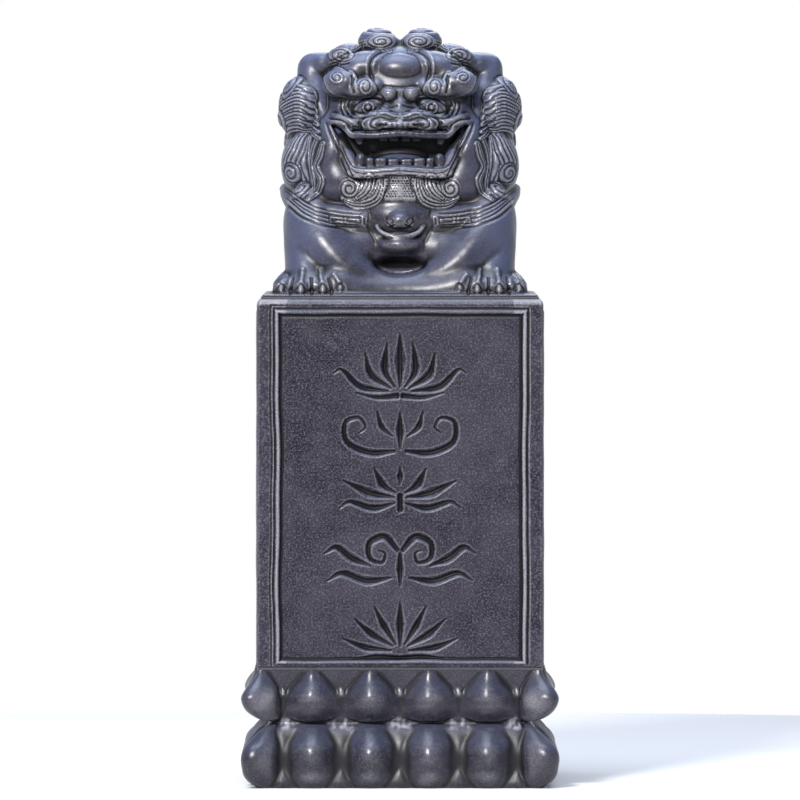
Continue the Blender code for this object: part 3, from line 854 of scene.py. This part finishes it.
def panel_relief(u, z, front):
    """Heights of a pillar side: a shallow panel inside a beaded line, and ornaments on the front."""
    wave = 0.9 * np.sin(z / 47.0 + (2.1 if front else 0.4)) + 0.5 * np.sin(z / 19.0)
    wave_top = 0.7 * np.sin(u / 39.0 + 1.0) + 0.5 * np.sin(u / 16.0)
    left, right = u + 161.5 + wave, 164.0 + 0.6 * wave - u
    low, high = z - (PILLAR_FOOT + 6.5 + 0.6 * wave_top), PILLAR_TOP - 17.0 + 0.5 * wave_top - z
    inward = np.minimum(np.minimum(left, right), np.minimum(low, high))
    height = -4.0 * ramp(inward, 0.6, 4.6)
    height += 1.3 * np.exp(-((inward / 2.0) ** 2)) - 1.0 * np.exp(-(((inward - 5.2) / 1.6) ** 2))
    height -= 1.7 * np.exp(-(((inward + 4.6) / 1.3) ** 2)) * ramp(low, -5, 1)
    height -= 0.8 * np.exp(-(((inward + 8.6) / 1.2) ** 2)) * ramp(u, -120, -168)
    if front:
        cuts = np.zeros(len(u))
        for middle, strokes in panel_ornaments():
            for corners, wide in strokes:
                for flip in (1, -1):
                    placed = [(flip * x, middle + up) for x, up in corners]
                    cuts = np.maximum(cuts, stroke(u, z, placed, wide, 5.4))
        height -= cuts
    return height


def make_pillar_side(side, places):
    """One side of the pillar, from corner to corner and from foot to top, as a grid.

    Gives its points, faces, grid of point numbers, wear with painted shade, and normals.
    """
    stations = perimeter_side(places, PILLAR_HALF, PILLAR_CORNER)
    rows = np.concatenate(
        [
            PILLAR_FOOT + np.array([0.0, 0.6, 1.6]),
            np.arange(PILLAR_FOOT + 3, PILLAR_TOP - 8, PILLAR_STEP),
            PILLAR_TOP - PILLAR_ROUND * (1 - np.sin(np.linspace(0, math.pi / 2, 7))),
        ]
    )
    along, z = np.meshgrid(np.arange(len(stations)), rows, indexing="ij")
    across, out, nx, nout = stations[along.ravel()].T
    z = z.ravel()
    above = np.maximum(z - (PILLAR_TOP - PILLAR_ROUND), 0)
    top_drop = PILLAR_ROUND - np.sqrt(np.maximum(PILLAR_ROUND**2 - above**2, 0))
    foot_drop = np.maximum(0, 1.6 - (z - PILLAR_FOOT)) ** 2 / 1.6
    inset = 1 - (top_drop + foot_drop) / PILLAR_HALF
    height = panel_relief(across, z, side == 0)
    spot = np.stack([across, z, np.full(len(z), 300.0 * side)], axis=1)
    calm = ramp(np.abs(nx), 0.5, 0.0)
    height = height * calm + 0.35 * ripple(spot, 60, 11) * calm + 0.04 * ripple(spot, 11, 12) * calm
    x, y = spun(across * inset + height * nx, -(out * inset + height * nout), side)
    index = np.arange(len(z)).reshape(len(stations), len(rows))
    faces = np.stack([index[:-1, :-1], index[1:, :-1], index[1:, 1:], index[:-1, 1:]], axis=-1).reshape(-1, 4)
    points = np.stack([x, y, z], axis=1)
    wear_and_shade, normals = wear_and_shade_of(points, faces)
    field = np.where((wear_and_shade > 0) & (np.abs(across) < 150), 0.45, 1.0)
    wear_and_shade = wear_and_shade * ramp(z, PILLAR_FOOT, PILLAR_FOOT + 4) * field
    # Neighbouring sides meet in the middle of each corner, so both get the same normals and wear there
    for column, lean in ((index[0], -1), (index[-1], 1)):
        level = math.sqrt(2) * np.sqrt(1 - normals[column, 2] ** 2).clip(0.1) / 2
        corner_x, corner_y = spun(lean, -1, side)
        normals[column, 0], normals[column, 1] = level * corner_x, level * corner_y
        wear_and_shade[column] = 0.35
    return points, faces, index, wear_and_shade, normals


def make_pillar_shapes():
    """The front's skin, then the skin of the other three sides, with the top and foot closed.

    The plain sides have close stations only at their frames, since their panels are flat.
    """
    front = make_pillar_side(0, np.linspace(-1, 1, int(370 / PILLAR_STEP)))
    border = np.append(np.linspace(0.82, 0.955, 16), 1.0)
    sparse = np.concatenate([-border[::-1], np.linspace(-0.77, 0.77, 32), border])
    skins = [make_pillar_side(side, sparse) for side in (1, 2, 3)]
    first = np.cumsum([0] + [len(skin[0]) for skin in skins])
    points, wear_and_shade, normals = (np.concatenate([skin[i] for skin in skins]) for i in (0, 3, 4))
    faces = np.concatenate([skin[1] + start for skin, start in zip(skins, first)]).tolist()
    for level, order in ((-1, 1), (0, -1)):
        ring = np.concatenate([skin[2][:, level] + start for skin, start in zip(skins, first)])
        faces.append(ring[::order].tolist())
    return (front[0], front[1].tolist(), front[3], front[4]), (points, faces, wear_and_shade, normals)


# ---------------------------------------------------------------- the lotus base


def bead_relief(off, z):
    """Distance out from the base's core. off is the distance along the side from a bead's crown."""
    gap = np.abs(off)
    half_pitch = BEAD_PITCH / 2
    between = half_pitch - gap
    # Lower tier: round beads that narrow to a neck, with a small bud low in each space between them
    levels = [0, 4, 14, 26, 40, 52, 66, 77, 84, 88]
    swell = smooth_rise(z, levels, [5, 9, 17.5, 22.5, 24.5, 22, 14.5, 8.5, 3.5, 0])
    wide = smooth_rise(z, [0, 6, 24, 42, 58, 74, 88], [12, 17, 27, 29.5, 26, 15, 10])
    lower = swell * (1 - np.clip(gap / (wide + 9.5), 0, 1) ** 2) ** 1.9
    bud = 3.4 * np.exp(-((between / 7.5) ** 2)) * smooth_rise(z, [12, 28, 44, 58, 74], [0, 0.55, 1, 0.5, 0.0])
    wedge = 4.0 * np.clip(1 - z / 25.0, 0, 1) * np.clip(1.25 - between / (20.5 - 0.75 * z).clip(1), 0, 1)
    lower = np.maximum(lower, wedge) + bud
    # Upper tier: beads whose tips run up to the top as ridges, with plain triangles between the tips
    hang = 86 + 11 * np.clip(gap / half_pitch, 0, 1) ** 2
    under = np.sqrt(np.clip(1 - ((118 - z) / (118 - hang)).clip(0) ** 2, 0, 1))
    over = smooth_rise(z, [112, 119, 130, 142, 153, 160], [1, 0.99, 0.80, 0.47, 0.22, 0.12])
    swell = 24.5 * under * over
    wide = smooth_rise(z, [84, 108, 120, 132, 144, 155, 163], [38, 39.5, 38.0, 31.0, 20.5, 10.0, 3.0])
    share = np.clip(gap / wide, 0, 1)
    upper = swell * (1 - share**2) ** 1.8
    pearl = 3.6 * np.exp(-((between / 5.5) ** 2)) * np.exp(-(((z - 125) / 6.0) ** 2))
    crease = 0.9 * np.exp(-(((gap - wide) / 1.6) ** 2)) * ramp(z, 124, 130) * ramp(z, 156, 148)
    upper = upper + pearl - crease
    blend = ramp(z, 85, 89)
    return lower * (1 - blend) + upper * blend


def make_base_shape():
    """The two-tier lotus base as one closed skin."""
    fine = BASE_STEP * 0.55
    rows = np.concatenate(
        [
            np.array([0.0, 0.7, 1.8]),
            np.arange(3.2, 80, BASE_STEP),
            np.arange(80, 106, fine),
            np.arange(106, BASE_TOP - 1.2, BASE_STEP),
            np.array([BASE_TOP - 0.6, BASE_TOP]),
        ]
    )
    core_z = [0, 6, 30, 62, 78, 87.5, 91, 100, 120, 140, BASE_TOP]
    core_half = [187, 188.5, 185.5, 184, 178.5, 173.5, 175.5, 179, 182, 184.5, 188.5]
    core = smooth_rise(rows, core_z, core_half)
    per_side = int(2 * 196 / BASE_STEP)
    share = (np.arange(4 * per_side) + 0.5) / per_side
    side = share.astype(int)
    run = 2 * (share - side) - 1
    arc = math.pi / 4 * BASE_CORNER
    half_pitch = BEAD_PITCH / 2
    points, gaps, corners = [], [], []
    for z, half in zip(rows, core):
        # Round the core: straight along the side, then an arc to the middle of the corner
        flat = half - BASE_CORNER
        end = flat + arc
        reach = np.abs(run) * end
        turn = np.clip((reach - flat) / BASE_CORNER, 0, math.pi / 4)
        nx, nout = np.sign(run) * np.sin(turn), np.cos(turn)
        across = np.sign(run) * np.where(reach < flat, reach, flat + BASE_CORNER * np.sin(turn))
        out = np.where(reach < flat, half, flat + BASE_CORNER * np.cos(turn))
        # Distance from the nearest bead's crown, stretched to reach the bead on the corner
        off = np.where(reach < BEAD_PITCH, reach - half_pitch, reach - 3 * half_pitch)
        stretch = half_pitch / (end - 2 * BEAD_PITCH)
        off = np.where(reach > 2 * BEAD_PITCH, (end - reach) * stretch, off)
        fuller = 1 + (0.62 if z < WAIST else 0.86) * ramp(reach, 152, end)
        lift = bead_relief(off, np.full(len(off), z)) * fuller
        x, y = spun(across + lift * nx, -(out + lift * nout), side)
        points.append(np.stack([x, y, np.full(len(x), z)], axis=1))
        gaps.append(np.abs(off))
        corners.append(ramp(reach, 160, 176))
    points = np.concatenate(points)
    around, levels = 4 * per_side, len(rows)
    index = np.arange(around * levels).reshape(levels, around)
    nextward = np.roll(index, -1, axis=1)
    faces = np.stack([index[:-1], nextward[:-1], nextward[1:], index[1:]], axis=-1).reshape(-1, 4)
    normals = vertex_normals(points, faces)
    inner = ramp(points[:, 2], 0, 6) * ramp(points[:, 2], BASE_TOP, BASE_TOP - 5)
    unevenness = 0.5 * ripple(points, 38, 21) + 0.03 * ripple(points, 8, 22)
    points = points + normals * (unevenness * inner)[:, None]
    wear_and_shade, normals = base_wear_and_shade(points, faces, np.concatenate(gaps), np.concatenate(corners))
    faces = faces.tolist() + [index[0][::-1].tolist(), index[-1].tolist()]
    return points, faces, wear_and_shade, normals


def base_wear_and_shade(points, faces, gap, corner):
    """Wear and normals of the base: rubbed at the waist, with painted shade between the lower beads."""
    z = points[:, 2]
    wear_and_shade, normals = wear_and_shade_of(points, faces, 1.6, 0.18)
    wear_and_shade = np.where(wear_and_shade > 0, wear_and_shade * (1 - 0.85 * corner), wear_and_shade)
    wear_and_shade *= ramp(z, BASE_TOP, BASE_TOP - 4)
    waist = np.exp(-(((z - WAIST + 2) / 8.0) ** 2)) * ramp(gap, 16, 32)
    wear_and_shade = np.clip(wear_and_shade + 1.3 * waist * np.clip(0.5 + ripple(points, 9, 23), 0, 1), -1, 1)
    # Painted shade in the spaces between the lower beads, below the waist
    between = ramp(gap, 20, 33) * ramp(z, 78, 66)
    return np.clip(wear_and_shade - 0.45 * between, -1, 1), normals


# ---------------------------------------------------------------- materials


class Nodes:
    """A short way to wire up one material's nodes."""

    def __init__(self, name):
        self.material = bpy.data.materials.new(name)
        self.material.use_nodes = True
        self.tree = self.material.node_tree
        self.shader = self.tree.nodes["Principled BSDF"]
        self.place = self.add("ShaderNodeTexCoord").outputs["Object"]

    def add(self, kind, **settings):
        node = self.tree.nodes.new(kind)
        for key, value in settings.items():
            if key[0].isupper():
                node.inputs[key.replace("_", " ")].default_value = value
            else:
                setattr(node, key, value)
        return node

    def link(self, source, target):
        self.tree.links.new(source, target)

    def noise(self, scale, detail=3.0, roughness=0.55):
        node = self.add("ShaderNodeTexNoise", Scale=scale, Detail=detail, Roughness=roughness)
        self.link(self.place, node.inputs["Vector"])
        return node.outputs["Fac"]

    def spread(self, value, low, high, start=0.0, end=1.0):
        node = self.add("ShaderNodeMapRange", From_Min=low, From_Max=high, To_Min=start, To_Max=end)
        self.link(value, node.inputs["Value"])
        return node.outputs["Result"]

    def maths(self, operation, first, second):
        node = self.add("ShaderNodeMath", operation=operation)
        for socket, value in zip(node.inputs, (first, second)):
            if isinstance(value, (int, float)):
                socket.default_value = value
            else:
                self.link(value, socket)
        return node.outputs[0]

    def mix(self, share, first, second, blend="MIX"):
        node = self.add("ShaderNodeMix", data_type="RGBA", blend_type=blend)
        self.link(share, node.inputs["Factor"])
        for socket, value in ((node.inputs["A"], first), (node.inputs["B"], second)):
            if isinstance(value, tuple):
                socket.default_value = value
            else:
                self.link(value, socket)
        return node.outputs["Result"]

    def bumps(self, layers):
        """Stacks (height, strength, distance) bumps and feeds the shader."""
        before = None
        for height, strength, distance in layers:
            node = self.add("ShaderNodeBump", Strength=strength, Distance=distance)
            self.link(height, node.inputs["Height"])
            if before:
                self.link(before, node.inputs["Normal"])
            before = node.outputs["Normal"]
        self.link(before, self.shader.inputs["Normal"])


STONE = {
    "deep": (0.007, 0.0060, 0.0115, 1),
    "slate": (0.022, 0.0195, 0.029, 1),
    "mottle": (0.038, 0.035, 0.046, 1),
    "grit": (0.095, 0.090, 0.112, 1),
    # Painted blue sky reflection, laid on surfaces that face up
    "painted_sky_reflection": (0.072, 0.089, 0.155, 1),
    "worn": (0.255, 0.250, 0.270, 1),
    # Painted shade, for hollows, creases and the inside of the mouth
    "painted_hollow_shade": (0.004, 0.0038, 0.005, 1),
}


def stone_material(name, grain, shine):
    """Dark slate-blue carved stone: paler on worn edges, with painted shade in the hollows, finely chiselled.

    grain is how much pale grit shows, and shine how strongly the surface reflects.
    """
    n = Nodes(name)
    wear_and_shade = n.add("ShaderNodeAttribute", attribute_name="wear_and_shade").outputs["Fac"]
    cloud = n.noise(7.0, 5.0, 0.6)
    patch = n.noise(46.0, 4.0, 0.6)
    grit = n.noise(400.0, 4.0, 0.8)
    colour = n.mix(n.spread(cloud, 0.38, 0.60), STONE["deep"], STONE["slate"])
    colour = n.mix(n.spread(patch, 0.42, 0.72, 0.0, 0.5), colour, STONE["mottle"])
    colour = n.mix(n.spread(grit, 0.50, 0.62, 0.0, grain), colour, STONE["grit"])

    # A painted blue sky reflection on what faces up, most of all on the head, and on the lion's outer flanks
    facing = n.add("ShaderNodeSeparateXYZ")
    n.link(n.add("ShaderNodeNewGeometry").outputs["Normal"], facing.inputs[0])
    spot = n.add("ShaderNodeSeparateXYZ")
    n.link(n.place, spot.inputs[0])
    up = n.spread(facing.outputs["Z"], 0.05, 0.9, 0.0, 0.9)
    painted_sky_reflection = n.maths("MULTIPLY", up, n.spread(spot.outputs["Z"], 0.72, 0.88, 0.4, 1.0))
    outer = n.spread(n.maths("ABSOLUTE", spot.outputs["X"], 0.0), 0.075, 0.125, 0.0, 0.42)
    flank = n.maths("MULTIPLY", outer, n.spread(spot.outputs["Z"], 0.655, 0.680))
    painted_sky_reflection = n.maths("MAXIMUM", painted_sky_reflection, flank)
    colour = n.mix(painted_sky_reflection, colour, STONE["painted_sky_reflection"])

    edges = n.maths("MULTIPLY", n.spread(wear_and_shade, 0.16, 1.0, 0.0, 1.0), n.spread(grit, 0.30, 0.60, 0.35, 1.0))
    colour = n.mix(edges, colour, STONE["worn"])
    # Painted shade: near black where the value is negative, in hollows, inside the mouth and between the
    # lower beads
    colour = n.mix(n.spread(wear_and_shade, -0.03, -0.50), colour, STONE["painted_hollow_shade"])
    n.link(colour, n.shader.inputs["Base Color"])
    rough = n.maths("ADD", n.spread(patch, 0.3, 0.7, 0.22, 0.32), n.spread(wear_and_shade, -0.6, 0.5, 0.20, -0.02))
    n.link(rough, n.shader.inputs["Roughness"])
    n.shader.inputs["Specular IOR Level"].default_value = shine
    chisel = n.noise(900.0, 2.0, 0.6)
    n.bumps([(patch, 0.12, 0.0025), (chisel, 0.15 + 0.4 * grain, 0.0003), (grit, 0.25, 0.0003)])
    return n.material


def plain_material(name, colour, other, roughness, scale, metallic=0.0, bump=0.3):
    """A hidden piece's finish: two close tones, mottled, with a fine bump."""
    n = Nodes(name)
    speckle = n.noise(scale, 4.0, 0.65)
    n.link(n.mix(n.spread(speckle, 0.35, 0.65), (*colour, 1.0), (*other, 1.0)), n.shader.inputs["Base Color"])
    rough = n.spread(n.noise(scale * 0.3), 0.3, 0.7, roughness - 0.07, roughness + 0.07)
    n.link(rough, n.shader.inputs["Roughness"])
    n.shader.inputs["Metallic"].default_value = metallic
    n.bumps([(speckle, bump, 0.0004)])
    return n.material


# ---------------------------------------------------------------- building the scene


def add_piece(name, node, points, faces, wear_and_shade, normals, material, lift=0.0):
    """One carved piece, in metres, standing for a node of the frame."""
    mesh = bpy.data.meshes.new(name)
    placed = points / 1000.0
    placed[:, 2] += lift
    mesh.from_pydata(placed, [], faces)
    mesh.attributes.new("wear_and_shade", "FLOAT", "POINT").data.foreach_set("value", wear_and_shade.astype(np.float32))
    mesh.shade_smooth()
    mesh.normals_split_custom_set_from_vertices(normals)
    mesh.materials.append(material)
    piece = bpy.data.objects.new(name, mesh)
    bpy.context.scene.collection.objects.link(piece)
    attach(piece, "root")
    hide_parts(node)
    return piece


def split_faces(faces, group):
    """The faces of one group, renumbered, and which points they use."""
    chosen = faces[group]
    used, flat = np.unique(chosen, return_inverse=True)
    return flat.reshape(chosen.shape), used


def lion_wear_and_shade(points, faces):
    """Wear, painted light and shade, and normals of the lion: a paler beard, duller teeth, and painted shade
    in the mouth.
    """
    wear_and_shade, normals = wear_and_shade_of(points, faces)
    wear_and_shade = np.where(wear_and_shade > 0, 0.72 * wear_and_shade, wear_and_shade)
    x, y, z = np.abs(points[:, 0]), points[:, 1], points[:, 2]
    # The beard is made paler: partly rubbed wear, partly a painted highlight for the light that falls on it
    beard = ramp(x, 84, 60) * ramp(z, 118, 134) * ramp(z, 172, 160) * ramp(y, -100, -112)
    wear_and_shade = np.clip(wear_and_shade + 0.95 * beard * (wear_and_shade > -0.45), -1, 1)
    teeth = ramp(x, 66, 58) * ramp(z, 173, 177) * ramp(z, 226, 220) * (y < -90)
    wear_and_shade = np.where(wear_and_shade > 0, wear_and_shade * (1 - 0.7 * teeth), wear_and_shade)
    # Painted shade inside the mouth; the dark begins a little further forward above the tongue
    start = -124 - 4 * ramp(z, 196, 206)
    mouth = ramp(y, -136, start) * ramp(x, 84, 78) * ramp(z, 175, 182) * ramp(z, 222, 216) * (y < -90)
    return wear_and_shade * (1 - mouth) - mouth, normals


def add_lion(material):
    """The lion, in four pieces that meet along shared points: head front and back, body front and back."""
    points, faces = make_lion_shape()
    wear_and_shade, normals = lion_wear_and_shade(points, faces)
    middle = points[faces].mean(axis=1)
    high, ahead = middle[:, 2] > 150, middle[:, 1] < -48
    groups = {
        "lion_face": high & ahead,
        "lion_mane": high & ~ahead,
        "lion_chest": ~high & ahead,
        "lion_body": ~high & ~ahead,
    }
    for name, group in groups.items():
        local, used = split_faces(faces, group)
        skin = (points[used], local.tolist(), wear_and_shade[used], normals[used])
        add_piece(name, "lion_figure", *skin, material, lift=PILLAR_TOP / 1000)


def add_light(name, place, target, size, power, colour):
    """A square soft light that looks at a target."""
    light = bpy.data.objects.new(name, bpy.data.lights.new(name, "AREA"))
    light.data.shape = "RECTANGLE"
    light.data.size = light.data.size_y = size
    light.data.energy = power
    light.data.color = colour
    light.location = place
    light.rotation_euler = (Vector(target) - light.location).to_track_quat("-Z", "Y").to_euler()
    bpy.context.scene.collection.objects.link(light)


def add_stage():
    """A pale floor, the surround, soft studio lights and the camera."""
    mesh = bpy.data.meshes.new("floor")
    turns = [math.radians(3 * k) for k in range(120)]
    rim = [(FLOOR_RADIUS * math.cos(t), FLOOR_RADIUS * math.sin(t), 0) for t in turns]
    mesh.from_pydata(rim, [], [list(range(len(rim)))])
    floor = bpy.data.objects.new("floor", mesh)
    bpy.context.scene.collection.objects.link(floor)
    paint = Nodes("floor_paint")
    paint.shader.inputs["Base Color"].default_value = (0.70, 0.70, 0.70, 1.0)
    paint.shader.inputs["Roughness"].default_value = 0.9
    mesh.materials.append(paint.material)

    world = bpy.data.worlds.new("surround")
    world.use_nodes = True
    tree = world.node_tree
    split = tree.nodes.new("ShaderNodeSeparateXYZ")
    tree.links.new(tree.nodes.new("ShaderNodeTexCoord").outputs["Generated"], split.inputs[0])
    # The surround is grey on the camera's side, white behind the statue, and dim blue above
    front, behind, above = (0.40, 0.41, 0.46, 1.0), (1.0, 1.0, 1.0, 1.0), (0.20, 0.24, 0.34, 1.0)
    before = front
    for axis, start, end, shade in (("Y", -0.25, 0.55, behind), ("Z", 0.14, 0.45, above)):
        share = tree.nodes.new("ShaderNodeMapRange")
        share.inputs["From Min"].default_value = start
        share.inputs["From Max"].default_value = end
        tree.links.new(split.outputs[axis], share.inputs["Value"])
        blend = tree.nodes.new("ShaderNodeMix")
        blend.data_type = "RGBA"
        tree.links.new(share.outputs["Result"], blend.inputs["Factor"])
        if isinstance(before, tuple):
            blend.inputs["A"].default_value = before
        else:
            tree.links.new(before, blend.inputs["A"])
        blend.inputs["B"].default_value = shade
        before = blend.outputs["Result"]
    tree.links.new(before, tree.nodes["Background"].inputs["Color"])
    bpy.context.scene.world = world

    add_light("key", (-1.5, -4.8, 3.2), (0, 0, 0.5), 0.8, 480, (1.0, 0.98, 0.96))
    add_light("rear", (0.5, 3.2, 3.6), (0, 0, 0.5), 2.4, 70, (1.0, 1.0, 1.0))
    add_light("overhead", (-0.2, -0.6, 3.6), (0, 0, 0.6), 2.4, 140, (0.78, 0.86, 1.0))
    camera = bpy.data.objects.new("camera", bpy.data.cameras.new("camera"))
    bpy.context.scene.collection.objects.link(camera)
    camera.location = (0, -16.0, 0.86)
    camera.rotation_euler = (Vector((0, -0.17, 0.512)) - camera.location).to_track_quat("-Z", "Y").to_euler()
    camera.data.angle = math.radians(3.82)
    bpy.context.scene.camera = camera
    bpy.context.scene.view_settings.view_transform = "Standard"


def main():
    """Builds every carved piece, finishes the hidden ones and adds the stage."""
    stone = stone_material("carved_stone", grain=0.4, shine=0.40)
    panel_stone = stone_material("tooled_stone", grain=0.85, shine=0.17)
    add_lion(stone)
    front, sides = make_pillar_shapes()
    add_piece("pillar_front", "pillar_shaft", *front, panel_stone)
    add_piece("pillar_sides", "pillar_shaft", *sides, panel_stone)
    add_piece("lotus_foot", "lotus_base", *make_base_shape(), stone)

    dust, dark_dust = (0.055, 0.052, 0.064), (0.030, 0.028, 0.038)
    amber, dark_amber = (0.42, 0.36, 0.24), (0.30, 0.24, 0.14)
    bright, dull = (0.62, 0.63, 0.65), (0.52, 0.53, 0.55)
    finishes = {
        "mortar": plain_material("stone_dust_mortar", dark_dust, dust, 0.6, 400.0, bump=0.6),
        "resin": plain_material("anchor_resin", dark_amber, amber, 0.35, 120.0),
        "steel": plain_material("drawn_steel", dull, bright, 0.32, 900.0, metallic=1.0, bump=0.15),
        "shim_plastic": plain_material("packing_plastic", (0.03,) * 3, (0.055,) * 3, 0.55, 300.0),
    }
    for entry in frame["record"]["subparts"]:
        finish = finishes.get(entry["material_slot"])
        if finish:
            for slot in frame["nodes"][entry["node"]].material_slots:
                slot.material = finish
    add_stage()


main()
